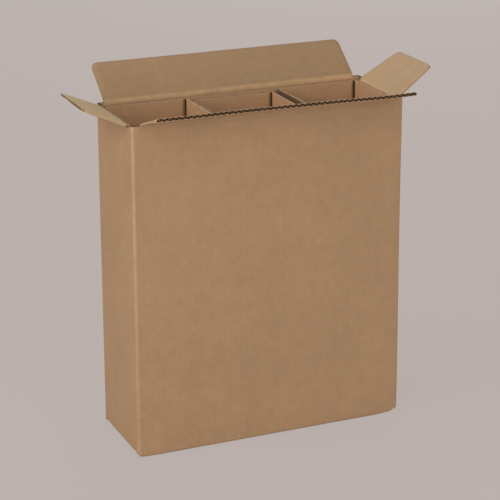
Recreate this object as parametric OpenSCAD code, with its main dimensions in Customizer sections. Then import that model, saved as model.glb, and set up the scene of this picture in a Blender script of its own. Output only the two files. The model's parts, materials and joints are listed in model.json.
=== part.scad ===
// Upright carton for three bottles, standing open.
// The case is one folded sheet of fluted board, with four flaps round its mouth.
// Three square sleeves of the same board stand inside it, one for each bottle.
// Sizes are in millimetres and leans in degrees.
// +Z is up, +X runs along the wide panels, and the front panel faces -Y.
// The origin is the middle of the base, on the surface that the carton stands on.

/* [Case] */
// Width over the front panel
case_w = 311; // [240:1:400]
// Depth over the side panels
case_d = 108; // [90:1:140]
// Height from the surface to the folds of the front and back flaps
case_h = 370; // [250:1:450]
// Thickness of the case board
board = 3; // [2:0.1:4]
// Distance of each top flap from the corner beside it
corner_slot = 8; // [6:0.5:12]
// Depth of the corner slots below the folds of the front and back flaps
slot_depth = 1; // [0.4:0.2:3]
// Distance of each base flap from the corner beside it
base_slot = 5; // [4:0.5:12]
// Gap between the two outer base flaps where they meet
base_seam = 0.4; // [0.2:0.1:0.6]
// Room between two layers of folded board that lie flat on each other
layer_gap = 0.2; // [0.1:0.05:0.5]

/* [Glued joint] */
// Width of the tab that is glued behind the right panel
tab_w = 35; // [20:1:42]
// Thickness of the tab after pressing
tab_t = 1.4; // [0.8:0.1:2]
// Slope of the tab's two ends, measured up its free edge
tab_taper = 12; // [4:1:20]
// Open gap beside the cut edge of the right panel
joint_gap = 1.5; // [0.5:0.1:3]

/* [Flaps] */
// Lean of the front flap from upright, outwards
front_lean = 71; // [0:1:105]
// Lean of the back flap from upright, outwards
back_lean = 52; // [0:1:105]
// Lean of the left flap from upright, outwards
left_lean = 66; // [0:1:105]
// Lean of the right flap from upright, outwards
right_lean = 57; // [0:1:105]
// Furthest lean that the folds leave room for, outwards
open_lean = 110; // [106:1:140]
// Slope of a short flap's two sides, measured at its free edge
side_taper = 8; // [0:0.5:12]
// Radius of a flap's free corners
flap_corner = 6.5; // [3:0.5:12]
// Gap between the front and back flaps when they are shut
top_seam = 1; // [0.4:0.2:4]
// Half of the gap that each fold keeps between panel and flap
fold_gap = 0.2; // [0.1:0.05:0.3]

/* [Flutes] */
// Length of one wave of the fluted core
flute_pitch = 6.4; // [4.5:0.1:9]
// Thickness of each flat liner
liner = 0.4; // [0.2:0.05:0.5]
// Thickness of the fluted core paper
core_paper = 0.4; // [0.2:0.05:0.5]
// Length of board that the fold's score presses solid
crush_l = 8; // [5:0.5:20]

/* [Sleeves] */
// Thickness of the sleeve board
sleeve_board = 3; // [2:0.1:4]
// Gap between two sleeves
sleeve_gap = 3.6; // [1:0.2:6]
// Room between an outer sleeve and the joint tab
side_play = 0.4; // [0.2:0.1:2]
// Room between the sleeves and the front and back panels
depth_play = 0.8; // [0.2:0.1:2]
// Width of the open seam at a sleeve's back right corner
seam_w = 3.6; // [1:0.2:8]
// Room between the outer sleeves and the shut side flaps
head_play = 0.4; // [0.2:0.1:8]

/* [Hidden] */

kraft = "#a17f5f";
kraft_inside = "#987a5b";
kraft_sleeve = "#8c6c50";
$fn = 48;
overrun = 1;

// Panels by quarter turns from the back one
back_panel = 0;
left_panel = 1;
front_panel = 2;
right_panel = 3;
quarter_turn = 90;
panels = [back_panel, left_panel, front_panel, right_panel];

// A flap turns this far inwards from upright when it shuts
shut_lean = 90;
fold_inset = board / 2;
shut_bevel = fold_inset * tan(shut_lean / 2);
open_bevel = fold_inset * tan(open_lean / 2);

// The side folds lie one layer lower, so that the shut side flaps lie under the others
side_fold_h = case_h - board - layer_gap;
ring_top = side_fold_h - fold_gap - open_bevel;
slot_floor = case_h - slot_depth;
flap_l = case_d / 2 - fold_inset - top_seam / 2;

// The outer base flaps lie on the surface, and the inner ones on top of them
inner_base = board + layer_gap;
ring_foot = inner_base + board;
base_reach = case_d / 2 - base_seam / 2;

// The core's wave runs between the liners, and is glued to them at its crests
core_h = board - 2 * liner;
wave_h = (core_h - core_paper) / 2;
wave_steps = 6;
glue_share = 0.1;
channel_half = flute_pitch * (1 / 2 - glue_share);

sleeve_count = 3;
side_room = tab_t + side_play;
clear_w = case_w - 2 * board - 2 * side_room;
sleeve_w = (clear_w - (sleeve_count - 1) * sleeve_gap) / sleeve_count;
sleeve_d = case_d - 2 * board - 2 * depth_play;
sleeve_pitch = sleeve_w + sleeve_gap;
sleeve_h = side_fold_h - fold_inset - head_play - ring_foot;

function panel_offset(panel) = panel % 2 == 0 ? case_d / 2 : case_w / 2;
function fold_w(panel, slot) = 2 * (panel_offset(panel + 1) - slot);
function fold_h(panel) = panel % 2 == 0 ? case_h : side_fold_h;
function base_h(panel) = panel % 2 == 0 ? 0 : inner_base;
function flap_taper(panel) = panel % 2 == 0 ? 0 : side_taper;

// Places its children on a panel's outer face, with +Y outwards
module on_panel(panel, height) {
    rotate([0, 0, quarter_turn * panel])
        translate([0, panel_offset(panel), height])
            children();
}

// Runs an outward-and-up outline along a panel's width
module along_panel(width) {
    rotate([90, 0, 90])
        linear_extrude(width, center = true)
            children();
}

// Rectangle with round corners, seen from above
module round_plan(width, depth, radius) {
    square([width - 2 * radius, depth], center = true);
    square([width, depth - 2 * radius], center = true);
    for (side = [-1, 1], end = [-1, 1])
        translate([side * (width / 2 - radius), end * (depth / 2 - radius)])
            circle(radius);
}

// The four walls seen from above, folded round at their outer corners
module wall_plan() {
    difference() {
        round_plan(case_w, case_d, board);
        square([2 * (case_w / 2 - board), 2 * (case_d / 2 - board)], center = true);
    }
}

// A square round each corner of the case, seen from above
module corner_squares(reach) {
    for (side = [-1, 1], end = [-1, 1])
        translate([side * case_w / 2, end * case_d / 2])
            square(2 * reach, center = true);
}

// A base flap, running into the foot of its panel
module base_flap(panel) {
    on_panel(panel, base_h(panel))
        along_panel(fold_w(panel, base_slot))
            translate([-base_reach, 0])
                square([base_reach - fold_inset, board]);
}

// The end of the sheet, running from the back panel to lie flat behind the right one
module joint_tab() {
    low = ring_foot + board;
    high = ring_top - board;
    root = case_d / 2 - board;
    translate([case_w / 2 - board - tab_t, 0, 0])
        rotate([90, 0, 90])
            linear_extrude(tab_t + fold_inset)
                polygon([
                    [root + fold_inset, low],
                    [root + fold_inset, high],
                    [root, high],
                    [root - tab_w, high - tab_taper],
                    [root - tab_w, low + tab_taper],
                    [root, low]
                ]);
}

// The walls, their base flaps and the tab, before the folds are shaped
module folded_sheet() {
    linear_extrude(case_h)
        wall_plan();
    for (panel = panels)
        base_flap(panel);
    joint_tab();
}

// Room above a panel's fold, which leaves its top pressed to an edge
module fold_cut(panel) {
    reach = fold_inset + overrun;
    tip = fold_h(panel) - fold_gap;
    on_panel(panel, tip)
        along_panel(fold_w(panel, corner_slot - fold_gap))
            translate([-fold_inset, 0])
                polygon([
                    [0, 0],
                    [reach, -reach * open_bevel / fold_inset],
                    [reach, case_h - tip + overrun],
                    [-reach, case_h - tip + overrun],
                    [-reach, -reach * shut_bevel / fold_inset]
                ]);
}

// The slots beside the top flaps, deeper next to each fold so that its flap can turn
module top_slots() {
    translate([0, 0, slot_floor])
        linear_extrude(case_h)
            corner_squares(corner_slot - fold_gap);
    translate([0, 0, ring_top])
        linear_extrude(case_h)
            difference() {
                corner_squares(corner_slot);
                corner_squares(corner_slot - 2 * fold_gap);
            }
}

// Room below and outside a panel's base fold, which leaves it round
module base_cut(panel) {
    below = base_h(panel) + overrun;
    on_panel(panel, base_h(panel))
        along_panel(fold_w(panel, base_slot))
            difference() {
                translate([-board, -below])
                    square([board + overrun, board + below]);
                translate([-board, board])
                    circle(board);
            }
}

// The slots beside the base flaps
module base_slots() {
    translate([0, 0, -overrun])
        linear_extrude(inner_base + overrun)
            corner_squares(base_slot);
}

// The slit beside the glued panel's cut edge
module joint_slit() {
    translate([case_w / 2 - board, case_d / 2 - board - joint_gap, -overrun])
        cube([board + overrun, joint_gap, case_h + 2 * overrun]);
}

module case() {
    color(kraft)
        difference() {
            folded_sheet();
            top_slots();
            base_slots();
            for (panel = panels) {
                fold_cut(panel);
                base_cut(panel);
            }
            joint_slit();
        }
}

// One air channel of the core, under a crest of its wave
module channel_plan() {
    polygon([
        for (step = [0 : wave_steps])
            let (x = channel_half * (2 * step / wave_steps - 1))
                [x, wave_h * cos(360 * x / flute_pitch) - core_paper / 2],
        [channel_half, -core_h / 2],
        [-channel_half, -core_h / 2]
    ]);
}

// The channels that open on a flap's free edge, on both sides of the core
module flute_channels(free_w) {
    count = floor((free_w - 2 * flap_corner) / flute_pitch);
    first = -(count - 1) / 2 * flute_pitch;
    translate([0, 0, crush_l])
        linear_extrude(flap_l - crush_l + overrun) {
            for (i = [0 : count - 1])
                translate([first + i * flute_pitch, 0])
                    channel_plan();
            for (i = [0 : count - 2])
                translate([first + (i + 1 / 2) * flute_pitch, 0])
                    mirror([0, 1])
                        channel_plan();
        }
}

// A flap's outline, from its fold at zero up to its round free corners
module flap_outline(width, taper) {
    slope = atan(taper / flap_l);
    centre_y = flap_l - flap_corner;
    centre_x = width / 2 - taper * centre_y / flap_l - flap_corner / cos(slope);
    edge_x = centre_x + flap_corner * cos(slope);
    edge_y = centre_y + flap_corner * sin(slope);
    polygon([
        [-width / 2, 0],
        [width / 2, 0],
        [edge_x, edge_y],
        [centre_x, flap_l],
        [-centre_x, flap_l],
        [-edge_x, edge_y]
    ]);
    for (side = [-1, 1])
        translate([side * centre_x, centre_y])
            circle(flap_corner);
}

// A flap's section, pressed to an edge along its fold
module flap_section() {
    polygon([
        [0, fold_gap],
        [fold_inset, fold_gap + open_bevel],
        [fold_inset, flap_l],
        [-fold_inset, flap_l],
        [-fold_inset, fold_gap + shut_bevel]
    ]);
}

// A flap of fluted board, upright on its fold and with its outer face towards +Y
module flap_board(width, taper) {
    difference() {
        intersection() {
            rotate([90, 0, 0])
                linear_extrude(board, center = true)
                    flap_outline(width, taper);
            along_panel(width)
                flap_section();
        }
        flute_channels(width - 2 * taper);
    }
}

// A flap on its panel's fold, leaning outwards
module flap(panel, lean) {
    color(kraft_inside)
        on_panel(panel, fold_h(panel))
            translate([0, -fold_inset, 0])
                rotate([-lean, 0, 0])
                    flap_board(fold_w(panel, corner_slot), flap_taper(panel));
}

module front_flap() {
    flap(front_panel, front_lean);
}

module back_flap() {
    flap(back_panel, back_lean);
}

module left_flap() {
    flap(left_panel, left_lean);
}

module right_flap() {
    flap(right_panel, right_lean);
}

// A sleeve's wall seen from above, cut square and left open at its back right corner
module sleeve_plan() {
    inner_x = sleeve_w / 2 - sleeve_board;
    inner_y = sleeve_d / 2 - sleeve_board;
    difference() {
        union() {
            round_plan(sleeve_w, sleeve_d, sleeve_board);
            translate([inner_x, inner_y])
                square(sleeve_board);
        }
        square([2 * inner_x, 2 * inner_y], center = true);
        translate([inner_x - seam_w, inner_y - overrun])
            square([seam_w, sleeve_board + 2 * overrun]);
    }
}

// A sleeve in its place along the case, standing at a given height
module sleeve(place, foot) {
    color(kraft_sleeve)
        translate([place * sleeve_pitch, 0, foot])
            linear_extrude(sleeve_h)
                sleeve_plan();
}

module left_sleeve() {
    sleeve(-1, ring_foot);
}

// The inner base flaps don't reach the middle, so this sleeve stands one layer lower
module middle_sleeve() {
    sleeve(0, board);
}

module right_sleeve() {
    sleeve(1, ring_foot);
}

case();
front_flap();
back_flap();
left_flap();
right_flap();
left_sleeve();
middle_sleeve();
right_sleeve();
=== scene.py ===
"""Looks of an upright bottle carton of fluted board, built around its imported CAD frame."""
import json
import logging
import math
from collections.abc import Callable, Sequence
from dataclasses import dataclass, field
from enum import Enum, IntEnum
from functools import reduce

import bmesh
import bpy
from mathutils import Matrix, Vector, noise


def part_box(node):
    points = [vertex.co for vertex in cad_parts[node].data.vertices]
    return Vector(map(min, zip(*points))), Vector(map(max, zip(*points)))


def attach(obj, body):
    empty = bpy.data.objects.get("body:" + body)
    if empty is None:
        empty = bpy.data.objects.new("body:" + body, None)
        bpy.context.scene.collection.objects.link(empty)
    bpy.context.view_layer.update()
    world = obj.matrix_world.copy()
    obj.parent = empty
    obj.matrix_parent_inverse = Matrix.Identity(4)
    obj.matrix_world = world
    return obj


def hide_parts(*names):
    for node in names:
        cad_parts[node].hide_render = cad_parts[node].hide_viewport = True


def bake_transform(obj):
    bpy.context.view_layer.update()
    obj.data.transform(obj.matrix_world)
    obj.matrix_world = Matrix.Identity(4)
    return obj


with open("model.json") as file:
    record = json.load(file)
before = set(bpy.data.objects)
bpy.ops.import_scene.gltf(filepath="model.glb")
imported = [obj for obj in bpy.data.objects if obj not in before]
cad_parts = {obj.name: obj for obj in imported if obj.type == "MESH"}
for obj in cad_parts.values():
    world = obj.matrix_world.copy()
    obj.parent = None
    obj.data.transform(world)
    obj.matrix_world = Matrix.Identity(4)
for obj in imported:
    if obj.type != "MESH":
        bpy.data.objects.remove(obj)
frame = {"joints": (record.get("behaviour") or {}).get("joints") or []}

LOG = logging.getLogger("bottle_carton")
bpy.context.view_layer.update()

MM = 0.001
UP = Vector((0.0, 0.0, 1.0))
BOARD_UV = "board"
RIM = "rim"
IMAGE_PIXELS = 500
NOISE_MIDDLE = 0.5
FLUTE_PITCH = 6.4 * MM
SHARP_DEGREES = 40.0
FACING = 0.5
HAIR = 0.01 * MM
NEAR_FACE = 1 * MM
SAME_PLACE = 1e-6
CUT_DISTANCE = 1e-7

Shape = Callable[[Vector], Vector]


class Side(Enum):
    """The four panels of the case, each with the flap that it carries."""

    FRONT = "front"
    BACK = "back"
    LEFT = "left"
    RIGHT = "right"

    @property
    def flap(self) -> str:
        """Name of the flap's body and node."""
        return f"{self.value}_flap"

    @property
    def outward(self) -> Vector:
        """Unit vector out of the panel."""
        ways = {"front": (0, -1, 0), "back": (0, 1, 0), "left": (-1, 0, 0), "right": (1, 0, 0)}
        return Vector(ways[self.value])

    @property
    def is_long(self) -> bool:
        """True for the two wide panels."""
        return self in (Side.FRONT, Side.BACK)


class Cell(Enum):
    """The three sleeves, from left to right."""

    LEFT = "left_sleeve"
    MIDDLE = "middle_sleeve"
    RIGHT = "right_sleeve"


class Surface(IntEnum):
    """Material slots of a piece of board."""

    OUTER = 0
    INNER = 1
    CUT = 2
    FLUTE = 3


class Strip(IntEnum):
    """Layers of the board's section, from the inner liner to the outer one."""

    INNER_LINER = 0
    INNER_AIR = 1
    CORE = 2
    OUTER_AIR = 3
    OUTER_LINER = 4


def srgb(red: int, green: int, blue: int) -> tuple[float, float, float, float]:
    """Turns a screen colour, with parts from 0 to 255, into the linear one that shaders take."""
    parts = [value / 255 for value in (red, green, blue)]
    return (*(p / 12.92 if p <= 0.04045 else ((p + 0.055) / 1.055) ** 2.4 for p in parts), 1.0)


def smooth(value: float) -> float:
    """Eases a value from zero to one, flat at both ends."""
    share = min(max(value, 0.0), 1.0)
    return share * share * (3 - 2 * share)


def eased(value: float, start: float, end: float) -> float:
    """Eases from zero where a value is at a start mark to one at an end mark."""
    return smooth((value - start) / (end - start))


@dataclass(frozen=True)
class BoardStock:
    """Single-wall fluted board: two liners and a waved core."""

    thickness: float
    liner: float = 0.32 * MM
    core: float = 0.36 * MM
    pitch: float = FLUTE_PITCH
    steps: int = 12
    glue_gap: float = 0.01 * MM

    def waves(self, width: float) -> int:
        """Number of whole waves that fill a width."""
        return max(1, round(width / self.pitch))

    def level(self, line: int, phase: float) -> float:
        """Height of one line of the section.

        Args:
            line: Line from 0, the inner face, to 5, the outer face.
            phase: Angle along the wave.

        Returns:
            Height from the middle of the board.
        """
        face = self.thickness / 2
        inside = face - self.liner
        swing = inside - self.glue_gap - self.core / 2
        middle = swing * math.cos(phase)
        return (-face, -inside, middle - self.core / 2, middle + self.core / 2, inside, face)[line]


@dataclass(frozen=True)
class Fold:
    """One top fold: where its axis is, and how far its flap leans out at rest."""

    side: Side
    axis_point: Vector
    lean: float

    def matrix(self, lean: float) -> Matrix:
        """Places board that is drawn flat, x along the fold, y away from it and z outwards.

        Args:
            lean: Angle out of upright.

        Returns:
            Matrix from flat board to the frame.
        """
        out = self.side.outward
        along = UP.cross(out)
        away = UP * math.cos(lean) + out * math.sin(lean)
        face = out * math.cos(lean) - UP * math.sin(lean)
        place = Matrix((along, away, face)).transposed().to_4x4()
        place.translation = self.axis_point
        return place


@dataclass(frozen=True)
class CartonSizes:
    """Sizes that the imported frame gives, in metres."""

    half_width: float
    half_depth: float
    slot_floor: float
    inner_base: float
    stock: BoardStock
    folds: dict[Side, Fold]
    corner_slot: float = 8 * MM
    slot_depth: float = 1 * MM

    @classmethod
    def from_frame(cls) -> "CartonSizes":
        """Reads the sizes from the frame's boxes and joints.

        Returns:
            The carton's sizes.
        """
        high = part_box("case")[1]
        joints = {joint["child"]: joint for joint in frame["joints"]}
        folds: dict[Side, Fold] = {}
        for side in Side:
            joint = joints[side.flap]
            lean = math.radians(joint["range_deg"][1] - 90)
            folds[side] = Fold(side, Vector(joint["pos_m"]), lean)
        front = folds[Side.FRONT].axis_point
        stock = BoardStock(thickness=2 * (high.y - abs(front.y)))
        return cls(
            half_width=high.x,
            half_depth=high.y,
            slot_floor=front.z - cls.slot_depth,
            inner_base=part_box(Cell.LEFT.value)[0].z - stock.thickness,
            stock=stock,
            folds=folds,
        )

    def half_along(self, side: Side) -> float:
        """Half the width of a panel."""
        return self.half_width if side.is_long else self.half_depth

    def half_out(self, side: Side) -> float:
        """Distance of a panel's outer face from the middle of the box."""
        return self.half_depth if side.is_long else self.half_width

    def half_flap(self, side: Side) -> float:
        """Half the width of a flap at its fold."""
        return self.half_along(side) - self.corner_slot

    def flap_length(self, side: Side) -> float:
        """Length of a flap from its fold's axis to its free edge.

        Args:
            side: Panel that carries the flap.

        Returns:
            The length, worked out from the node's box and its lean.
        """
        fold = self.folds[side]
        reach = max(corner.dot(side.outward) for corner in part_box(side.flap))
        out = reach - fold.axis_point.dot(side.outward)
        return (out - self.stock.thickness / 2 * math.cos(fold.lean)) / math.sin(fold.lean)


class Graph:
    """Adds nodes to one node tree and links their sockets."""

    def __init__(self, tree: bpy.types.NodeTree) -> None:
        """Keeps the tree that nodes are added to."""
        self.tree = tree

    def node(self, kind: str, feeds: dict | None = None, **settings: object) -> bpy.types.Node:
        """Adds a node.

        Args:
            kind: Blender's name for the node.
            feeds: Value or socket for each input that is fed, by the input's name or number.
            **settings: Properties to set on it.

        Returns:
            The new node.
        """
        made = self.tree.nodes.new(kind)
        for name, value in settings.items():
            setattr(made, name, value)
        for key, source in (feeds or {}).items():
            self.feed(made.inputs[key], source)
        return made

    def feed(self, socket: bpy.types.NodeSocket, source: object) -> None:
        """Links a socket to a source, or sets it where the source is a plain value.

        Args:
            socket: Socket to feed.
            source: Socket or value.
        """
        if isinstance(source, bpy.types.NodeSocket):
            self.tree.links.new(source, socket)
        else:
            socket.default_value = source

    def math(self, operation: str, *values: object) -> bpy.types.NodeSocket:
        """Adds a Math node on values or sockets and gives its result."""
        return self.node("ShaderNodeMath", dict(enumerate(values)), operation=operation).outputs[0]

    def product(self, *values: object) -> bpy.types.NodeSocket:
        """Multiplies values or sockets, from the first to the last."""
        return reduce(lambda one, other: self.math("MULTIPLY", one, other), values)

    def swing(self, value: object, amount: object) -> bpy.types.NodeSocket:
        """Swing of a noise about its middle, times an amount."""
        return self.product(self.math("SUBTRACT", value, NOISE_MIDDLE), amount)

    def noise(self, vector: object, scale: float, detail: float, warp: float = 0.0) -> bpy.types.NodeSocket:
        """Adds a Noise Texture over metres, from its features in a metre, octaves and distortion."""
        feeds = {"Vector": vector, "Scale": scale, "Detail": detail, "Roughness": 0.6, "Distortion": warp}
        return self.node("ShaderNodeTexNoise", feeds).outputs["Fac"]

    def ramp(self, value: object, low: float, high: float) -> bpy.types.NodeSocket:
        """Eases a value from zero at a low mark to one at a high mark."""
        feeds = {"Value": value, "From Min": low, "From Max": high}
        return self.node("ShaderNodeMapRange", feeds, interpolation_type="SMOOTHSTEP").outputs["Result"]

    def brightness(self, colour: object, value: object) -> bpy.types.NodeSocket:
        """Multiplies a colour's brightness by a value."""
        return self.node("ShaderNodeHueSaturation", {"Value": value, "Color": colour}).outputs["Color"]

    def mix_shaders(self, share: object, first: object, second: object, surface: object) -> None:
        """Mixes two shaders, by the share of the second, and sends the result to an output's socket."""
        mixed = self.node("ShaderNodeMixShader", {0: share, 1: first, 2: second})
        self.feed(surface, mixed.outputs[0])


def new_group(name: str, inputs: dict[str, str], outputs: dict[str, str]) -> tuple[Graph, bpy.types.Node]:
    """Starts a shader node group.

    Args:
        name: Name of the group.
        inputs: Name and kind of each input socket.
        outputs: Name and kind of each output socket.

    Returns:
        The group's graph, and its input node.
    """
    tree = bpy.data.node_groups.new(name, "ShaderNodeTree")
    for way, sockets in (("INPUT", inputs), ("OUTPUT", outputs)):
        for socket, kind in sockets.items():
            tree.interface.new_socket(name=socket, in_out=way, socket_type=f"NodeSocket{kind}")
    graph = Graph(tree)
    return graph, graph.node("NodeGroupInput")


def kraft_group() -> bpy.types.NodeTree:
    """Builds the group for the face of kraft paper: clouds, mottling, fibres and flecks.

    Returns:
        The node group.
    """
    graph, given = new_group(
        "kraft_paper",
        {"Vector": "Vector", "Colour": "Color", "Mottle": "Float", "Fleck": "Float"},
        {"Colour": "Color", "Roughness": "Float", "Height": "Float"},
    )
    place = given.outputs["Vector"]
    cloud = graph.noise(place, scale=14, detail=2)
    mottle = graph.noise(place, scale=120, detail=4)
    fibre = graph.noise(place, scale=650, detail=3, warp=1.4)
    cloud_share, mottle_share, fibre_share = 0.6, 0.9, 0.7
    swing = graph.math("ADD", graph.swing(cloud, cloud_share), graph.swing(mottle, mottle_share))
    swing = graph.math("ADD", swing, graph.swing(fibre, fibre_share))
    tone = graph.math("ADD", graph.product(swing, given.outputs["Mottle"]), 1.0)
    colour = graph.brightness(given.outputs["Colour"], tone)
    dark = graph.ramp(graph.noise(place, scale=420, detail=1), low=0.66, high=0.76)
    pale = graph.ramp(graph.noise(place, scale=310, detail=1), low=0.68, high=0.78)
    flecks = graph.product(graph.math("SUBTRACT", pale, dark), given.outputs["Fleck"])
    mean_roughness, roughness_share = 0.86, 0.25
    graph.node("NodeGroupOutput", {
        "Colour": graph.brightness(colour, graph.math("ADD", flecks, 1.0)),
        "Roughness": graph.math("ADD", graph.swing(mottle, roughness_share), mean_roughness),
        "Height": graph.math("ADD", fibre, mottle),
    })
    return graph.tree


def washboard_group() -> bpy.types.NodeTree:
    """Builds the group for the flutes that print through a liner.

    Returns:
        The node group.
    """
    graph, given = new_group(
        "washboard", {"Vector": "Vector", "Along": "Float", "Pitch": "Float"}, {"Ridge": "Float"}
    )
    most_drift = 2.4
    drift = graph.swing(graph.noise(given.outputs["Vector"], scale=9, detail=1), most_drift)
    turns = graph.math("DIVIDE", given.outputs["Along"], given.outputs["Pitch"])
    angle = graph.math("ADD", graph.product(turns, math.tau), drift)
    graph.node("NodeGroupOutput", {"Ridge": graph.math("COSINE", angle)})
    return graph.tree


@dataclass(frozen=True)
class KraftFinish:
    """Finish of one face of the board."""

    name: str
    colour: tuple[float, float, float, float]
    mottle: float = 0.3
    ridge: float = 0.009
    rim_shade: float = 0.0
    score_rub_and_painted_light: float = 0.0
    corner_rub_and_painted_light: float = 0.0


@dataclass
class KraftPaints:
    """Makes the board's materials from the shared node groups."""

    sizes: CartonSizes
    paper: bpy.types.NodeTree = field(default_factory=kraft_group)
    washboard: bpy.types.NodeTree = field(default_factory=washboard_group)
    fleck: float = 0.10
    grain: float = 0.35
    specular: float = 0.2
    bump_depth: float = 0.2 * MM
    ridge_height: float = 0.2

    def material(self, finish: KraftFinish) -> bpy.types.Material:
        """Builds one material.

        Args:
            finish: The finish to build.

        Returns:
            The new material.
        """
        paint = bpy.data.materials.new(finish.name)
        paint.use_nodes = True
        graph = Graph(paint.node_tree)
        shader = paint.node_tree.nodes["Principled BSDF"].inputs
        place = graph.node("ShaderNodeTexCoord").outputs["Object"]
        feeds = {"Vector": place, "Colour": finish.colour, "Mottle": finish.mottle, "Fleck": self.fleck}
        paper = graph.node("ShaderNodeGroup", feeds, node_tree=self.paper).outputs
        flat = graph.node("ShaderNodeUVMap", uv_map=BOARD_UV).outputs["UV"]
        board = graph.node("ShaderNodeSeparateXYZ", {"Vector": flat}).outputs
        feeds = {"Vector": place, "Along": board["X"], "Pitch": FLUTE_PITCH}
        ridge = graph.node("ShaderNodeGroup", feeds, node_tree=self.washboard).outputs["Ridge"]
        # Painted shade: the washboard ridges' light and shade are painted into the colour, on top of their
        # bump.
        tone = graph.math("ADD", graph.product(ridge, finish.ridge), 1.0)
        if finish.corner_rub_and_painted_light:
            tone = graph.math("ADD", tone, self.corner_rub_and_painted_light(graph, place, finish.corner_rub_and_painted_light))
        if finish.score_rub_and_painted_light:
            tone = graph.math("ADD", tone, self.score_rub_and_painted_light(graph, place, board["Y"], finish.score_rub_and_painted_light))
        if finish.rim_shade:
            rim = graph.node("ShaderNodeAttribute", attribute_name=RIM).outputs["Fac"]
            tone = graph.math("SUBTRACT", tone, graph.product(rim, finish.rim_shade))
        height = graph.math("ADD", paper["Height"], graph.product(ridge, self.ridge_height))
        feeds = {"Strength": self.grain, "Distance": self.bump_depth, "Height": height}
        bump = graph.node("ShaderNodeBump", feeds).outputs["Normal"]
        graph.feed(shader["Base Color"], graph.brightness(paper["Colour"], tone))
        graph.feed(shader["Roughness"], paper["Roughness"])
        graph.feed(shader["Normal"], bump)
        shader["Specular IOR Level"].default_value = self.specular
        return paint

    def corner_rub_and_painted_light(self, graph: Graph, place: bpy.types.NodeSocket, amount: float) -> bpy.types.NodeSocket:
        """Adds the pale rub along the case's upright folds, partly painted highlight that grows paler
        higher up, and a painted shade line along its foot.

        Args:
            graph: Graph of the material.
            place: Object coordinates.
            amount: How much paler the middle of a fold is.

        Returns:
            The share to add to the brightness.
        """
        band, none_below, full_above = 4 * MM, -50 * MM, 400 * MM
        foot_dark, foot_clear, foot_shade = 0.4 * MM, 2.6 * MM, 0.22
        split = graph.node("ShaderNodeSeparateXYZ", {"Vector": place}).outputs
        near = []
        for axis, half in (("X", self.sizes.half_width), ("Y", self.sizes.half_depth)):
            near.append(graph.ramp(graph.math("ABSOLUTE", split[axis]), half - band, half))
        worn = graph.ramp(graph.noise(place, scale=60, detail=3), low=0.2, high=0.6)
        # Painted highlight: the folds grow paler towards the top.
        higher = graph.ramp(split["Z"], none_below, full_above)
        pale = graph.product(*near, worn, higher, amount)
        # Painted shade: a dark line along the foot, where the sheet turns under.
        foot = graph.math("SUBTRACT", 1.0, graph.ramp(split["Z"], foot_dark, foot_clear))
        return graph.math("SUBTRACT", pale, graph.product(foot, foot_shade))

    def score_rub_and_painted_light(
        self, graph: Graph, place: bpy.types.NodeSocket, away: bpy.types.NodeSocket, amount: float
    ) -> bpy.types.NodeSocket:
        """Adds the pale, uneven rub along a scored fold; where it is strong it is painted light that lifts
        the shade beside the fold.

        Args:
            graph: Graph of the material.
            place: Object coordinates.
            away: Distance from the fold.
            amount: How much paler the score is.

        Returns:
            The share to add to the brightness.
        """
        middle, full_within, none_beyond = -1.2 * MM, 1.2 * MM, 4 * MM
        off = graph.math("ABSOLUTE", graph.math("SUBTRACT", away, middle))
        near = graph.math("SUBTRACT", 1.0, graph.ramp(off, full_within, none_beyond))
        worn = graph.ramp(graph.noise(place, scale=45, detail=3), low=0.1, high=0.6)
        return graph.product(near, worn, amount)


def flat_uv(bm: bmesh.types.BMesh, spread: Callable[[Vector, Vector], tuple[float, float]]) -> None:
    """Writes the board's own coordinates, across the flutes and along them, into a UV map.

    Args:
        bm: Mesh to write to.
        spread: Gives the two coordinates from a vertex's place and its face's normal.
    """
    layer = bm.loops.layers.uv.verify()
    for face in bm.faces:
        for loop in face.loops:
            loop[layer].uv = spread(loop.vert.co, face.normal)


def mark_board(bm: bmesh.types.BMesh, thickness: float) -> None:
    """Turns the faces of flat board outwards, and gives them their slots and coordinates.

    Args:
        bm: Board that lies flat, with its thickness along z.
        thickness: Thickness of the board.
    """
    bmesh.ops.recalc_face_normals(bm, faces=list(bm.faces))
    flat_uv(bm, lambda place, normal: (place.x, place.y))
    rim = thickness / 2 - HAIR
    for face in bm.faces:
        heights = [vert.co.z for vert in face.verts]
        face.material_index = Surface.CUT
        if min(heights) > rim:
            face.material_index = Surface.OUTER
        if max(heights) < -rim:
            face.material_index = Surface.INNER


def picked(geom: Sequence[object], kind: type) -> list:
    """Picks the vertices, edges or faces out of what an operator made."""
    return [item for item in geom if isinstance(item, kind)]


def reshape(bm: bmesh.types.BMesh, shape: Shape) -> None:
    """Moves each vertex to where a shape puts it."""
    for vert in bm.verts:
        vert.co = shape(vert.co)


def fluted_section(stock: BoardStock, width: float) -> bmesh.types.BMesh:
    """Draws the section of fluted board, x across the flutes and z through the thickness.

    Args:
        stock: The board.
        width: Width of the section.

    Returns:
        The section, with each face's strip as its material index.
    """
    bm = bmesh.new()
    waves = stock.waves(width)
    turn = Matrix.Rotation(math.pi / 2, 4, "X")
    strips = len(Strip)
    bmesh.ops.create_grid(bm, x_segments=waves * stock.steps, y_segments=strips, size=0.5, matrix=turn)
    for face in bm.faces:
        face.material_index = int((face.calc_center_median().z + 0.5) * strips)
    for vert in bm.verts:
        line = round((vert.co.z + 0.5) * strips)
        vert.co.z = stock.level(line, math.tau * waves * vert.co.x)
        vert.co.x *= width
    return bm


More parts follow.
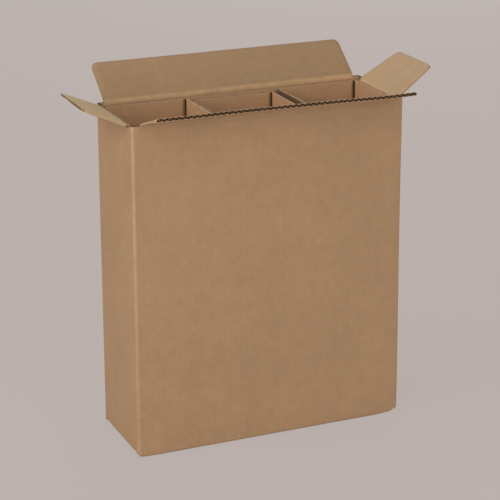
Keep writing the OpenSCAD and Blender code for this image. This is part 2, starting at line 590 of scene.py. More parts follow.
def extrude_rows(bm: bmesh.types.BMesh, marks: Sequence[float]) -> list[bmesh.types.BMFace]:
    """Extrudes a section along y in rows.

    Args:
        bm: Mesh that holds the section only.
        marks: Place of each row, the first one the section's own.

    Returns:
        Faces of the last row's end.
    """
    bmesh.ops.translate(bm, vec=(0, marks[0], 0), verts=list(bm.verts))
    faces = list(bm.faces)
    for before, after in zip(marks, marks[1:]):
        grown = bmesh.ops.extrude_face_region(bm, geom=faces)["geom"]
        faces = picked(grown, bmesh.types.BMFace)
        verts = picked(grown, bmesh.types.BMVert)
        bmesh.ops.translate(bm, vec=(0, after - before, 0), verts=verts)
    return faces


def to_object(bm: bmesh.types.BMesh, name: str, sharp: float = SHARP_DEGREES) -> bpy.types.Object:
    """Turns a mesh into an object of the scene.

    Args:
        bm: Mesh to take over, which is freed.
        name: Name of the piece.
        sharp: Angle in degrees above which an edge stays sharp.

    Returns:
        The new object.
    """
    mesh = bpy.data.meshes.new(name)
    bm.to_mesh(mesh)
    bm.free()
    mesh.uv_layers[0].name = BOARD_UV
    mesh.shade_smooth()
    mesh.set_sharp_from_angle(angle=math.radians(sharp))
    piece = bpy.data.objects.new(name, mesh)
    bpy.context.scene.collection.objects.link(piece)
    return piece


def dress(piece: bpy.types.Object, paints: Sequence[bpy.types.Material]) -> None:
    """Gives a piece its materials and logs its face count.

    Args:
        piece: The piece to dress.
        paints: Materials in the order of its surfaces.
    """
    for paint in paints:
        piece.data.materials.append(paint)
    LOG.info("built %s with %d faces", piece.name, len(piece.data.polygons))


@dataclass
class Case:
    """The folded sheet: four walls, four base flaps and the glued corner tab."""

    sizes: CartonSizes
    fold_reach: float
    corner_round: float = 3.2 * MM
    base_slot: float = 5 * MM
    base_seam: float = 0.4 * MM
    slit_from: float = 3 * MM
    slit_to: float = 4.5 * MM
    tab_width: float = 35 * MM
    tab_thickness: float = 1.4 * MM
    tab_taper: float = 12 * MM
    grid: float = 24 * MM
    bow: float = 0.5 * MM
    flare: float = 2.2 * MM
    flare_height: float = 300 * MM
    knocked_foot: tuple[float, float] = (16 * MM, 11 * MM)
    worn_foot: tuple[float, float] = (13 * MM, 5 * MM)
    foot_fade: float = 16 * MM
    edge_wear: float = 0.25 * MM
    wear_degrees: float = 50.0
    fold_steps: int = 5
    base_rows: int = 3

    def build(self) -> bpy.types.Object:
        """Builds the sheet and gives it its thickness.

        Returns:
            The finished piece, riding on the case.
        """
        bm = self.walls()
        self.cut_away(bm)
        for side in Side:
            self.fold_base(bm, side)
        bmesh.ops.recalc_face_normals(bm, faces=list(bm.faces))
        flat_uv(bm, self.spread)
        reshape(bm, self.bowed)
        reshape(bm, self.settled)
        piece = to_object(bm, "case_sheet")
        self.thicken(piece)
        self.add_tab(piece)
        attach(piece, "case")
        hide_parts("case")
        return piece

    def walls(self) -> bmesh.types.BMesh:
        """Makes the outer face of the four walls, with rounded upright folds.

        Returns:
            The open ring of walls.
        """
        bm = bmesh.new()
        high = self.sizes.folds[Side.FRONT].axis_point.z
        size = Matrix.Diagonal((2 * self.sizes.half_width, 2 * self.sizes.half_depth, high, 1))
        bmesh.ops.create_cube(bm, size=1.0, matrix=Matrix.Translation((0, 0, high / 2)) @ size)
        caps = [face for face in bm.faces if abs(face.normal.z) > FACING]
        bmesh.ops.delete(bm, geom=caps, context="FACES_ONLY")
        upright = [edge for edge in bm.edges if abs(edge.verts[0].co.z - edge.verts[1].co.z) > high / 2]
        bmesh.ops.bevel(
            bm,
            geom=upright,
            offset=self.corner_round,
            offset_type="OFFSET",
            segments=self.fold_steps,
            profile=0.5,
            affect="EDGES",
            material=-1,
        )
        return bm

    def wall_foot(self, side: Side) -> float:
        """Height at which a wall starts to fold into its base flap."""
        thickness = self.sizes.stock.thickness
        return thickness if side.is_long else self.sizes.inner_base + thickness

    def wall_top(self, side: Side) -> float:
        """Height at which a wall ends and its top fold begins."""
        return self.sizes.folds[side].axis_point.z - self.fold_reach

    def cut_lines(self) -> dict[int, set[float]]:
        """Lists where the walls are cut.

        Returns:
            The places on each axis, by the axis' number.
        """
        wide, deep = self.sizes.half_width, self.sizes.half_depth
        lines: dict[int, set[float]] = {0: set(), 1: set(), 2: set()}
        for inset in (self.sizes.corner_slot, self.base_slot):
            lines[0] |= {inset - wide, wide - inset}
            lines[1] |= {inset - deep, deep - inset}
        lines[1] |= {deep - self.slit_from, deep - self.slit_to}
        lines[2] |= {self.sizes.slot_floor, self.sizes.inner_base}
        for side in Side:
            lines[2] |= {self.wall_foot(side), self.wall_top(side)}
        for axis, low, high in ((0, -wide, wide), (1, -deep, deep), (2, 0.0, self.sizes.slot_floor)):
            count = round((high - low) / self.grid)
            lines[axis] |= {low + (high - low) * step / count for step in range(1, count)}
        return lines

    def cut_away(self, bm: bmesh.types.BMesh) -> None:
        """Cuts the slots, the joint's slit and the walls' ends out of the ring.

        Args:
            bm: The ring of walls.
        """
        for axis, places in self.cut_lines().items():
            normal = Vector((axis == 0, axis == 1, axis == 2))
            for place in sorted(places):
                ring = list(bm.verts) + list(bm.edges) + list(bm.faces)
                spot = normal * place
                bmesh.ops.bisect_plane(bm, geom=ring, plane_co=spot, plane_no=normal, dist=CUT_DISTANCE)
        gone = [face for face in bm.faces if self.is_cut_out(face.calc_center_median())]
        bmesh.ops.delete(bm, geom=gone, context="FACES")

    def panel_at(self, place: Vector, inset: float) -> Side | None:
        """Says which panel a place on the ring belongs to.

        Args:
            place: A point on the walls.
            inset: How far the panels stay from the corners.

        Returns:
            The panel, or None in a corner.
        """
        if abs(place.x) < self.sizes.half_width - inset and abs(place.y) > self.sizes.half_depth - inset:
            return Side.FRONT if place.y < 0 else Side.BACK
        if abs(place.y) < self.sizes.half_depth - inset and abs(place.x) > self.sizes.half_width - inset:
            return Side.LEFT if place.x < 0 else Side.RIGHT
        return None

    def is_cut_out(self, place: Vector) -> bool:
        """Says whether the sheet has a slot at a place of the ring.

        Args:
            place: Middle of a face.

        Returns:
            True where the face goes.
        """
        upper = self.panel_at(place, self.sizes.corner_slot)
        lower = self.panel_at(place, self.base_slot)
        top = self.wall_top(upper) if upper else self.sizes.slot_floor
        foot = self.wall_foot(lower) if lower else self.sizes.inner_base
        on_right = place.x > self.sizes.half_width - NEAR_FACE
        from_back = self.sizes.half_depth - place.y
        in_slit = on_right and self.slit_from < from_back < self.slit_to
        return place.z > top or place.z < foot or in_slit

    def fold_base(self, bm: bmesh.types.BMesh, side: Side) -> None:
        """Folds a base flap in under the box.

        Args:
            bm: The sheet.
            side: Panel whose base flap is folded.
        """
        foot = self.wall_foot(side)
        thickness = self.sizes.stock.thickness
        out = side.outward
        reach = self.sizes.half_out(side)
        edges = []
        for edge in bm.edges:
            ends = [vert.co for vert in edge.verts]
            level = all(abs(end.z - foot) < SAME_PLACE for end in ends)
            if level and edge.is_boundary and sum(end.dot(out) for end in ends) / 2 > reach - NEAR_FACE:
                edges.append(edge)
        folded = bmesh.ops.spin(
            bm,
            geom=edges,
            cent=out * (reach - thickness) + UP * foot,
            axis=out.cross(-UP),
            angle=math.pi / 2,
            steps=self.fold_steps,
            use_duplicate=False,
        )["geom_last"]
        last = picked(folded, bmesh.types.BMEdge)
        length = self.sizes.half_depth - thickness - self.base_seam / 2
        for _ in range(self.base_rows):
            grown = bmesh.ops.extrude_edge_only(bm, edges=last)["geom"]
            last = picked(grown, bmesh.types.BMEdge)
            verts = picked(grown, bmesh.types.BMVert)
            bmesh.ops.translate(bm, vec=out * (-length / self.base_rows), verts=verts)

    def spread(self, place: Vector, normal: Vector) -> tuple[float, float]:
        """Gives the board's coordinates on the walls and the base.

        Args:
            place: A point of the sheet.
            normal: Direction that its face looks in.

        Returns:
            The places across the flutes and along them.
        """
        if abs(normal.z) > FACING:
            on_side = abs(place.x) > self.sizes.half_width - self.sizes.half_depth
            inner = place.z > self.sizes.inner_base / 2
            return (place.y, place.x) if on_side and inner else (place.x, place.y)
        return (place.y, place.z) if abs(normal.x) > abs(normal.y) else (place.x, place.z)

    def bowed(self, place: Vector) -> Vector:
        """Bows the middle of each wall out a little, unevenly.

        Args:
            place: A point on the flat sheet.

        Returns:
            The point on the bowed sheet.
        """
        side = self.panel_at(place, self.sizes.corner_slot)
        if side is None:
            return place
        across = abs(place.x if side.is_long else place.y) / self.sizes.half_along(side)
        up = place.z / self.sizes.slot_floor
        across_fade, end_fade = 2.5, 5.0
        fade = smooth((1 - across) * across_fade) * smooth(up * end_fade) * smooth((1 - up) * end_fade)
        mean, swing, ripples = 0.55, 0.9, 9.0
        share = mean + swing * noise.noise(place * ripples)
        return place + side.outward * (self.bow * fade * share)

    def settled(self, place: Vector) -> Vector:
        """Rounds the foot of the upright folds, most where the base was knocked in.

        Args:
            place: A point on the sheet.

        Returns:
            The point on the rounded foot.
        """
        knocked = place.x > 0 and place.y < 0
        reach, level = self.knocked_foot if knocked else self.worn_foot
        from_side = self.sizes.half_width - abs(place.x)
        from_front = self.sizes.half_depth - abs(place.y)
        on_side = from_front > from_side
        side_stretch = 2.0
        near = max(1 - (from_front / side_stretch if on_side else from_side) / reach, 0.0)
        curve = 1 - math.sqrt(1 - near ** 2)
        corner = self.panel_at(place, self.base_slot - HAIR) is None
        rest = self.sizes.inner_base if on_side else 0.0
        foot = self.sizes.inner_base if corner else rest
        share = max(1 - max(place.z - foot, 0.0) / self.foot_fade, 0.0)
        rise = rest + (level - rest) * curve - foot
        lower = smooth(1 - place.z / self.flare_height)
        moved = place + Vector((self.flare * smooth(place.x / self.sizes.half_width) * lower, 0, 0))
        return moved + UP * (rise * share) if near > 0 else moved

    def thicken(self, piece: bpy.types.Object) -> None:
        """Gives the sheet its thickness inwards and softens its cut edges.

        Args:
            piece: The sheet, whose modifiers are applied.
        """
        wall = piece.modifiers.new("board", "SOLIDIFY")
        wall.thickness = self.sizes.stock.thickness
        wall.offset = -1
        wall.use_even_offset = True
        wall.material_offset = Surface.INNER
        wall.material_offset_rim = Surface.CUT
        for _ in (Surface.OUTER, Surface.INNER, Surface.CUT):
            piece.data.materials.append(None)
        worn = piece.modifiers.new("worn", "BEVEL")
        worn.width = self.edge_wear
        worn.segments = 2
        worn.limit_method = "ANGLE"
        worn.angle_limit = math.radians(self.wear_degrees)
        worn.material = -1
        graph = bpy.context.evaluated_depsgraph_get()
        solid = bpy.data.meshes.new_from_object(piece.evaluated_get(graph))
        piece.modifiers.clear()
        piece.data = solid
        surfaces = [face.material_index for face in solid.polygons]
        solid.materials.clear()
        solid.polygons.foreach_set("material_index", surfaces)
        solid.shade_smooth()
        solid.set_sharp_from_angle(angle=math.radians(SHARP_DEGREES))

    def add_tab(self, piece: bpy.types.Object) -> None:
        """Adds the tab that is glued inside the right wall at the back corner.

        Args:
            piece: The thickened sheet.
        """
        bm = bmesh.new()
        bm.from_mesh(piece.data)
        thickness = self.sizes.stock.thickness
        low = self.sizes.inner_base + 2 * thickness
        high = self.wall_top(Side.RIGHT)
        back = self.sizes.half_depth - self.slit_from
        middle = Vector((
            self.sizes.half_width - thickness - self.tab_thickness / 2,
            back - self.tab_width / 2,
            (low + high) / 2,
        ))
        size = Matrix.Diagonal((self.tab_thickness, self.tab_width, high - low, 1))
        verts = bmesh.ops.create_cube(bm, size=1.0, matrix=Matrix.Translation(middle) @ size)["verts"]
        for vert in verts:
            if vert.co.y < middle.y:
                vert.co.z += math.copysign(self.tab_taper, middle.z - vert.co.z)
        for face in {face for vert in verts for face in vert.link_faces}:
            face.material_index = Surface.INNER
        bm.to_mesh(piece.data)
        bm.free()


@dataclass
class FlapBoard:
    """Outline and resting lean of one top flap."""

    fold: Fold
    stock: BoardStock
    half_width: float
    length: float
    taper: float
    corner: float = 6.5 * MM
    tuck: float = 16 * MM
    pressed: float = 0.4
    press_reach: float = 5 * MM

    def narrowed(self, across: float, away: float) -> float:
        """Moves a place across the flap in, where its sides draw in towards the free edge.

        Args:
            across: Place from the middle of the flap at the fold.
            away: Distance from the fold.

        Returns:
            The place across the narrowed flap.
        """
        inner = self.half_width - self.tuck
        over = max(abs(across) - inner, 0.0)
        share = self.taper * min(max(away / self.length, 0.0), 1.0) / self.tuck
        return math.copysign(min(abs(across), inner) + over * (1 - share), across)

    def thickness_share(self, across: float) -> float:
        """Share of the board's thickness that is left where cutting pressed its sides."""
        inset = (self.half_width - abs(across)) / self.press_reach
        return 1 - self.pressed * (1 - smooth(inset))

    def free_end(self, across: float) -> float:
        """Distance of the free edge from the fold, less at the rounded corners.

        Args:
            across: Place across the narrowed flap at its free edge.

        Returns:
            The distance.
        """
        inset = min(max(self.half_width - self.taper - abs(across), 0.0), self.corner)
        gap = self.corner - inset
        return self.length - self.corner + math.sqrt(max(self.corner ** 2 - gap ** 2, 0.0))


@dataclass
class Flap:
    """One top flap, with flutes that open on its free edge."""

    board: FlapBoard
    root: float
    bow: float
    droop: float = 0.0
    swell: float = 0.0
    edge_crush: float = 0.0
    border: float = 2.4 * MM
    rows: int = 7
    rim: float = 1.3 * MM
    ripples: float = 40.0
    slower: float = 0.35
    seed_spread: float = 50.0

    def build(self) -> bpy.types.Object:
        """Builds the flap from its fluted section.

        Returns:
            The finished piece, riding on the flap's body.
        """
        board = self.board
        bm = fluted_section(board.stock, 2 * board.half_width)
        edge = board.half_width - self.border
        air = []
        for face in bm.faces:
            hollow = face.material_index in (Strip.INNER_AIR, Strip.OUTER_AIR)
            if hollow and abs(face.calc_center_median().x) < edge:
                air.append(face)
        bmesh.ops.delete(bm, geom=air, context="FACES_ONLY")
        loose = [edge for edge in bm.edges if edge.is_wire]
        bmesh.ops.delete(bm, geom=loose, context="EDGES")
        span = board.length - self.root
        marks = [self.root + span * step / self.rows for step in range(self.rows)]
        extrude_rows(bm, marks + [board.length - self.rim, board.length])
        mark_board(bm, board.stock.thickness)
        self.mark_flutes(bm)
        self.mark_rim(bm)
        reshape(bm, self.shaped)
        bmesh.ops.transform(bm, matrix=board.fold.matrix(board.fold.lean), verts=list(bm.verts))
        side = board.fold.side
        piece = to_object(bm, f"{side.value}_flap_board")
        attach(piece, side.flap)
        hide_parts(side.flap)
        return piece

    def mark_flutes(self, bm: bmesh.types.BMesh) -> None:
        """Gives the walls of the open flutes their own material slot.

        Args:
            bm: The straight board.
        """
        side = self.board.half_width - HAIR
        for face in bm.faces:
            inside = abs(face.calc_center_median().x) < side and abs(face.normal.y) < FACING
            if inside and face.material_index == Surface.CUT:
                face.material_index = Surface.FLUTE

    def mark_rim(self, bm: bmesh.types.BMesh) -> None:
        """Writes how close each vertex is to a cut edge, for the shade of pressed rims.

        Args:
            bm: The straight board.
        """
        layer = bm.verts.layers.float.new(RIM)
        for vert in bm.verts:
            inset = min(self.board.half_width - abs(vert.co.x), self.board.length - vert.co.y)
            vert[layer] = max(1 - inset / self.rim, 0.0)

    def shaped(self, place: Vector) -> Vector:
        """Gives flat board the flap's outline, a crushed free edge and a slight bow.

        Args:
            place: A point of the straight board.

        Returns:
            The point of the shaped flap.
        """
        board = self.board
        end = board.free_end(board.narrowed(place.x, board.length))
        share = (place.y - self.root) / (board.length - self.root)
        away = self.root + (end - self.root) * share
        across = board.narrowed(place.x, away)
        axis = board.fold.axis_point * self.seed_spread
        seed = Vector((place.x * self.ripples, axis.x, axis.y))
        crush_from, swell_from, droop_from = 0.7, 0.8, -0.4
        crush = self.edge_crush * (NOISE_MIDDLE + noise.noise(seed)) * eased(share, crush_from, 1.0)
        droop = self.droop * eased(place.x / board.half_width, droop_from, 1.0)
        lift = (self.bow * abs(noise.noise(seed * self.slower)) + droop) * smooth(share)
        swell = self.swell * eased(share, swell_from, 1.0)
        lift += swell * board.stock.thickness / 2
        height = place.z * board.thickness_share(place.x) * (1 + swell - max(crush, 0.0))
        return Vector((across, away, height + lift))


@dataclass
class FoldBand:
    """The scored strip that joins a wall to its flap, bent to the flap's resting lean."""

    board: FlapBoard
    reach: float
    roll: float = 2.4 * MM
    pinch: float = 0.25
    score: float = 1.6 * MM
    columns: int = 96
    rows: int = 16
    crumple: float = 0.18 * MM
    creases: tuple[float, float, float] = (160.0, 500.0, 200.0)
    seed_spread: float = 90.0
    bend_share: float = 0.55
    sharp: float = 60.0

    def build(self) -> bpy.types.Object:
        """Builds the strip flat and bends it to the flap's lean.

        Returns:
            The finished piece, fixed in place.
        """
        board = self.board
        thickness = board.stock.thickness
        bm = bmesh.new()
        size = Matrix.Diagonal((2 * board.half_width, 2 * self.reach, 1, 1))
        bmesh.ops.create_grid(bm, x_segments=self.columns, y_segments=self.rows, size=0.5, matrix=size)
        grown = bmesh.ops.extrude_face_region(bm, geom=list(bm.faces))["geom"]
        bmesh.ops.translate(bm, vec=(0, 0, thickness), verts=picked(grown, bmesh.types.BMVert))
        bmesh.ops.translate(bm, vec=(0, 0, -thickness / 2), verts=list(bm.verts))
        mark_board(bm, thickness)
        reshape(bm, self.bent)
        fold = board.fold
        upright = fold.matrix(0.0)
        bmesh.ops.transform(bm, matrix=upright, verts=list(bm.verts))
        side = fold.side
        piece = to_object(bm, f"{side.value}_fold_band", self.sharp)
        bend = Vector((0, self.bend_share * self.reach, 0))
        end = fold.matrix(fold.lean) @ bend
        side.flap
        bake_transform(piece)
        return piece

    def bent(self, place: Vector) -> Vector:
        """Pinches the score and rolls the strip over to the flap's lean.

        Args:
            place: A point of the flat strip.

        Returns:
            The point of the bent strip.
        """
        fade = 1 - eased(abs(place.y) / self.reach, self.bend_share, 1.0)
        pinch = self.pinch * math.exp(-((place.y / self.score) ** 2))
        seed = place * Vector(self.creases)
        seed.z += self.board.fold.axis_point.x * self.seed_spread
        rise = self.crumple * noise.noise(seed) * fade
        sides = 1 - eased(place.y, -self.reach, 0.0) * (1 - self.board.thickness_share(place.x))
        height = place.z * (1 - pinch) * sides + rise
        lean = self.board.fold.lean
        radius = self.roll / math.tan(lean / 2)
        angle = lean * min(max((place.y / self.roll + 1) / 2, 0.0), 1.0)
        spare = max(place.y - self.roll, 0.0) + min(place.y + self.roll, 0.0)
        away = radius * math.sin(angle) - self.roll + spare * math.cos(angle) - height * math.sin(angle)
        out = radius * (1 - math.cos(angle)) + spare * math.sin(angle) + height * math.cos(angle)
        return Vector((self.board.narrowed(place.x, place.y), away, out))


@dataclass
class Sleeve:
    """One cell: a strip of board folded into a tube that stays open at a corner."""

    cell: Cell
    low: Vector
    high: Vector
    stock: BoardStock
    seam: float = 3.6 * MM
    bend: float = 2.1 * MM
    relief: float = 0.12 * MM
    seam_shade: float = 1.2
    rows: int = 8
    bow: float = 0.5 * MM
    spread: tuple[float, float, float] = (30.0, 7.3, 2.2)

    def build(self) -> bpy.types.Object:
        """Builds the strip from its fluted section and folds it into a tube.

        Returns:
            The finished piece, riding on the case.
        """
        runs = self.runs()
        length = sum(runs) + (len(runs) - 1) * self.bend * math.pi / 2
        bm = fluted_section(self.stock, length)
        tall = self.high.z - self.low.z
        ends = extrude_rows(bm, [tall * step / self.rows for step in range(self.rows + 1)])
        air = [face for face in ends if face.material_index in (Strip.INNER_AIR, Strip.OUTER_AIR)]
        sunk = bmesh.ops.extrude_face_region(bm, geom=air)["geom"]
        bmesh.ops.translate(bm, vec=(0, -self.relief, 0), verts=picked(sunk, bmesh.types.BMVert))
        mark_board(bm, self.stock.thickness)
        self.mark_seam(bm, length)
        reshape(bm, lambda place: self.folded(place, runs, length, tall))
        piece = to_object(bm, f"{self.cell.value}_board")
        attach(piece, "case")
        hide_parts(self.cell.value)
        return piece

    def mark_seam(self, bm: bmesh.types.BMesh, length: float) -> None:
        """Gives the inner liner beside the open seam its own material slot, which carries the painted shade
        of the slit.

        Args:
            bm: The flat strip.
            length: Length of the strip.
        """
        depth = self.stock.thickness * self.seam_shade - length / 2
        for face in bm.faces:
            if face.material_index == Surface.INNER and face.calc_center_median().x < depth:
                face.material_index = Surface.FLUTE

    def half_size(self) -> Vector:
        """Half the width and depth of the tube, to the middle of its board."""
        return (self.high - self.low) / 2 - Vector((1, 1, 0)) * (self.stock.thickness / 2)

    def runs(self) -> list[float]:
        """Lists the flat runs of the strip between its folds.

        Returns:
            Lengths of the right, front, left and back panels.
        """
        half = self.half_size()
        thickness = self.stock.thickness
        wide, deep = half.x - self.bend, half.y - self.bend
        last = half.x - thickness / 2 - self.seam
        return [half.y + thickness / 2 + deep, 2 * wide, 2 * deep, last + wide]

    def folded(self, place: Vector, runs: list[float], length: float, tall: float) -> Vector:
        """Folds the flat strip round the cell.

        Args:
            place: A point of the flat strip.
            runs: Lengths of its panels.
            length: Length of the strip.
            tall: Height of the strip.

        Returns:
            The point of the tube.
        """
        half = self.half_size()
        middle = (self.low + self.high) / 2
        along = place.x + length / 2
        point = Vector((middle.x + half.x, middle.y + half.y + self.stock.thickness / 2, 0))
        heading, out = Vector((0, -1, 0)), Vector((1, 0, 0))
        arc = self.bend * math.pi / 2
        share = place.y / tall
        side_rate, foot_rate = 4, 3
        for number, run in enumerate(runs):
            if along <= run or number == len(runs) - 1:
                part = along / run
                fade = smooth(side_rate * part) * smooth(side_rate * (1 - part)) * smooth(foot_rate * share)
                swing = noise.noise(Vector((middle.x, number, share)) * Vector(self.spread))
                point = point + heading * along + out * (place.z + self.bow * fade * swing)
                break
            point, along = point + heading * run, along - run
            centre = point - out * self.bend
            angle = min(along / self.bend, math.pi / 2)
            if along < arc:
                spoke = out * math.cos(angle) + heading * math.sin(angle)
                point = centre + spoke * (self.bend + place.z)
                break
            heading, out = -out, heading
            point, along = centre + out * self.bend, along - arc
        return Vector((point.x, point.y, self.low.z + place.y))


@dataclass(frozen=True)
class Lamp:
    """A square soft light that faces the box: its place and side in metres, its power in watts."""

    name: str
    place: tuple[float, float, float]
    size: float
    power: float


LAMPS = (
    Lamp("left_low_light", (-2.3, -1.5, 0.8), 1.6, 20),
    Lamp("front_low_light", (0.2, -2.8, 0.75), 1.5, 18),
    Lamp("left_high_light", (-2.2, -0.2, 1.7), 1.5, 22),
    Lamp("front_high_light", (-0.8, -2.3, 1.8), 1.6, 12),
    Lamp("back_light", (1.4, 2.3, 1.0), 1.6, 16),
)


@dataclass
class Studio:
    """Pale floor, soft light and the camera at the photograph's angle."""

    backdrop: tuple[float, float, float, float] = srgb(187, 176, 172)
    bounce: tuple[float, float, float, float] = srgb(232, 226, 222)
    world_light: float = 0.42
    floor_half: float = 9.0
    floor_glow: float = 0.965
    floor_share: float = 0.9
    sensor: float = 36.0
    focal_pixels: float = 1876.94
    azimuth: float = -23.522
    elevation: float = 19.012
    distance: float = 2.06512
    roll: float = -0.0496
    aim_height: float = 185 * MM
    slide: tuple[float, float] = (-1.0036 * MM, 13.5263 * MM)

    def build(self) -> None:
        """Builds the floor, the lights, the world and the camera."""
        bpy.context.scene.view_settings.view_transform = "Standard"
        self.floor()
        self.world()
        for lamp in LAMPS:
            self.hang(lamp)
        self.camera()

    def floor(self) -> None:
        """Lays the floor, which shows the backdrop's colour and takes the box's shadow."""
        bm = bmesh.new()
        bmesh.ops.create_grid(bm, x_segments=8, y_segments=8, size=self.floor_half)
        mesh = bpy.data.meshes.new("studio_floor")
        bm.to_mesh(mesh)
        bm.free()
        ground = bpy.data.objects.new("studio_floor", mesh)
        bpy.context.scene.collection.objects.link(ground)
        paint = bpy.data.materials.new("studio_paper")
        paint.use_nodes = True
        paint.node_tree.nodes.clear()
        graph = Graph(paint.node_tree)
        matt = graph.node("ShaderNodeBsdfDiffuse", {"Color": self.bounce}).outputs[0]
        feeds = {"Color": self.backdrop, "Strength": self.floor_glow}
        glow = graph.node("ShaderNodeEmission", feeds).outputs[0]
        seen = graph.node("ShaderNodeLightPath").outputs["Is Camera Ray"]
        surface = graph.node("ShaderNodeOutputMaterial").inputs["Surface"]
        graph.mix_shaders(graph.product(seen, self.floor_share), matt, glow, surface)
        mesh.materials.append(paint)

    def world(self) -> None:
        """Sets a pale world: soft light for the box, the backdrop's colour for the camera."""
        world = bpy.data.worlds.new("studio_world")
        world.use_nodes = True
        bpy.context.scene.world = world
        nodes = world.node_tree.nodes
        graph = Graph(world.node_tree)
        soft = nodes["Background"]
        soft.inputs["Color"].default_value = (1.0, 1.0, 1.0, 1.0)
        soft.inputs["Strength"].default_value = self.world_light
        shown = graph.node("ShaderNodeBackground", {"Color": self.backdrop})
        path = graph.node("ShaderNodeLightPath").outputs
        seen = graph.math("MAXIMUM", path["Is Camera Ray"], path["Is Glossy Ray"])
        surface = nodes["World Output"].inputs["Surface"]
        graph.mix_shaders(seen, soft.outputs[0], shown.outputs[0], surface)

    def hang(self, lamp: Lamp) -> None:
        """Hangs a light that faces the middle of the box.

        Args:
            lamp: The light to hang.
        """
        light = bpy.data.lights.new(lamp.name, "AREA")
        light.size = lamp.size
        light.energy = lamp.power
        hung = bpy.data.objects.new(lamp.name, light)
        hung.location = lamp.place
        aim = UP * self.aim_height - Vector(lamp.place)
        hung.rotation_euler = aim.to_track_quat("-Z", "Y").to_euler()
        bpy.context.scene.collection.objects.link(hung)

    def camera(self) -> None:
        """Sets the camera where the photograph was taken from."""
        view = bpy.data.cameras.new("photo_camera")
        view.sensor_width = self.sensor
        view.lens = self.focal_pixels * self.sensor / IMAGE_PIXELS
        eye = bpy.data.objects.new("photo_camera", view)
        turn, tilt = math.radians(self.azimuth), math.radians(self.elevation)
        back = Vector((math.sin(turn) * math.cos(tilt), -math.cos(turn) * math.cos(tilt), math.sin(tilt)))
        level = UP.cross(back).normalized()
        rise = back.cross(level)
        spin = math.radians(self.roll)
        right = level * math.cos(spin) + rise * math.sin(spin)
        over = rise * math.cos(spin) - level * math.sin(spin)
        place = Matrix((right, over, back)).transposed().to_4x4()
        aim = UP * self.aim_height + right * self.slide[0] + over * self.slide[1]
        place.translation = aim + back * self.distance
        eye.matrix_world = place
        bpy.context.scene.collection.objects.link(eye)
        bpy.context.scene.camera = eye


# Painted light and shade: each flap's inside is the same kraft, made paler or darker per flap to stand in
# for how the light falls on it.
FLAP_INSIDES_PAINTED_LIGHT = {
    Side.FRONT: KraftFinish("front_flap_inside_painted_light", srgb(170, 136, 104), score_rub_and_painted_light=0.16),
    # Painted light: the back's strong score rub lifts the shaded strip below its fold.
    Side.BACK: KraftFinish("back_flap_inside_painted_light", srgb(161, 130, 97), rim_shade=0.2, score_rub_and_painted_light=0.5),
    Side.LEFT: KraftFinish("left_flap_inside_painted_light", srgb(201, 173, 132), rim_shade=0.2, score_rub_and_painted_light=0.12),
    Side.RIGHT: KraftFinish("right_flap_inside_painted_light", srgb(185, 155, 120), rim_shade=0.2, score_rub_and_painted_light=0.12),
}


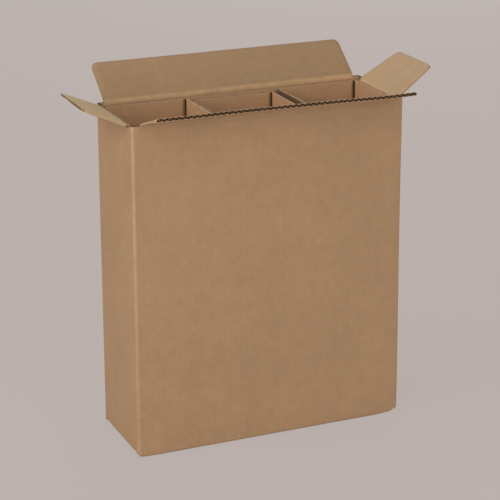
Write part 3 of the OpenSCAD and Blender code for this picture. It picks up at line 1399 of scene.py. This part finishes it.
@dataclass
class Carton:
    """The whole box: case, top flaps with their folds, and sleeves."""

    sizes: CartonSizes
    paints: KraftPaints
    fold_reach: float = 5 * MM
    side_taper: float = 8 * MM
    flap_bow: float = 0.7 * MM
    front_droop: float = 2.0 * MM
    edge_swell: float = 0.25
    edge_crush: float = 0.5
    outer: KraftFinish = KraftFinish("outer_kraft", srgb(160, 128, 96), corner_rub_and_painted_light=0.26)
    inside: KraftFinish = KraftFinish("case_inside", srgb(172, 139, 106))
    # Painted shade: this dark liner sits only beside each sleeve's open seam, for the slit's shade.
    inner: KraftFinish = KraftFinish("seam_painted_shade", srgb(64, 47, 33))
    # Partly painted shade: the case's and bands' cut edges are darker than the board, standing in for the
    # shade in their open flutes.
    cut: KraftFinish = KraftFinish("cut_board", srgb(90, 68, 48), ridge=0.0)
    flap_cut: KraftFinish = KraftFinish("flap_edge", srgb(168, 137, 104), ridge=0.0)
    # Painted shade: the long flaps' flute channel walls are darker than the board, for the shade inside the
    # channels.
    painted_flute_shade: KraftFinish = KraftFinish("flute_wall_painted_shade", srgb(92, 66, 44), ridge=0.0)
    # Painted shade: the sleeves' outer faces show only in the narrow gaps and are darker than the board, to
    # stand in for the gaps' shade.
    cell_back_painted_shade: KraftFinish = KraftFinish("cell_back_painted_shade", srgb(104, 79, 57))
    cell: KraftFinish = KraftFinish("cell_kraft", srgb(187, 147, 110))
    # Painted highlight: the sleeves' cut edges, mostly their upward tops, are paler than the board for the
    # light that falls on them.
    cell_edge_painted_highlight: KraftFinish = KraftFinish("cell_edge_painted_highlight", srgb(230, 194, 152), mottle=0.24, ridge=0.0)

    def build(self) -> None:
        """Builds and dresses every piece."""
        outer, inside, cut = self.painted(self.outer, self.inside, self.cut)
        edge, painted_flute_shade = self.painted(self.flap_cut, self.painted_flute_shade)
        dress(Case(self.sizes, self.fold_reach).build(), [outer, inside, cut])
        for side in Side:
            board = self.flap_board(side)
            inner = self.paints.material(FLAP_INSIDES_PAINTED_LIGHT[side])
            dress(FoldBand(board, self.fold_reach).build(), [outer, inner, cut])
            walls = painted_flute_shade if side.is_long else edge
            dress(self.flap(board).build(), [outer, inner, edge, walls])
        cells = self.painted(self.cell_back_painted_shade, self.cell, self.cell_edge_painted_highlight, self.inner)
        for place in Cell:
            sleeve = Sleeve(place, *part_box(place.value), self.sizes.stock)
            dress(sleeve.build(), cells)

    def painted(self, *finishes: KraftFinish) -> list[bpy.types.Material]:
        """Gives the materials of some finishes."""
        return [self.paints.material(finish) for finish in finishes]

    def flap_board(self, side: Side) -> FlapBoard:
        """Gives a flap's outline.

        Args:
            side: Panel that carries the flap.

        Returns:
            The outline.
        """
        return FlapBoard(
            fold=self.sizes.folds[side],
            stock=self.sizes.stock,
            half_width=self.sizes.half_flap(side),
            length=self.sizes.flap_length(side),
            taper=0.0 if side.is_long else self.side_taper,
        )

    def flap(self, board: FlapBoard) -> Flap:
        """Gives a flap its wear, with long and short flaps bowed apart so that they shut.

        Args:
            board: The flap's outline.

        Returns:
            The flap to build.
        """
        if not board.fold.side.is_long:
            return Flap(board, self.fold_reach, bow=-self.flap_bow, edge_crush=self.edge_crush)
        droop = self.front_droop if board.fold.side is Side.FRONT else 0.0
        return Flap(board, self.fold_reach, bow=self.flap_bow, droop=droop, swell=self.edge_swell)


def main() -> None:
    """Builds the carton and its studio."""
    logging.basicConfig(level=logging.INFO, format="%(name)s: %(message)s")
    sizes = CartonSizes.from_frame()
    Carton(sizes, KraftPaints(sizes)).build()
    Studio().build()


if __name__ == "__main__":
    main()
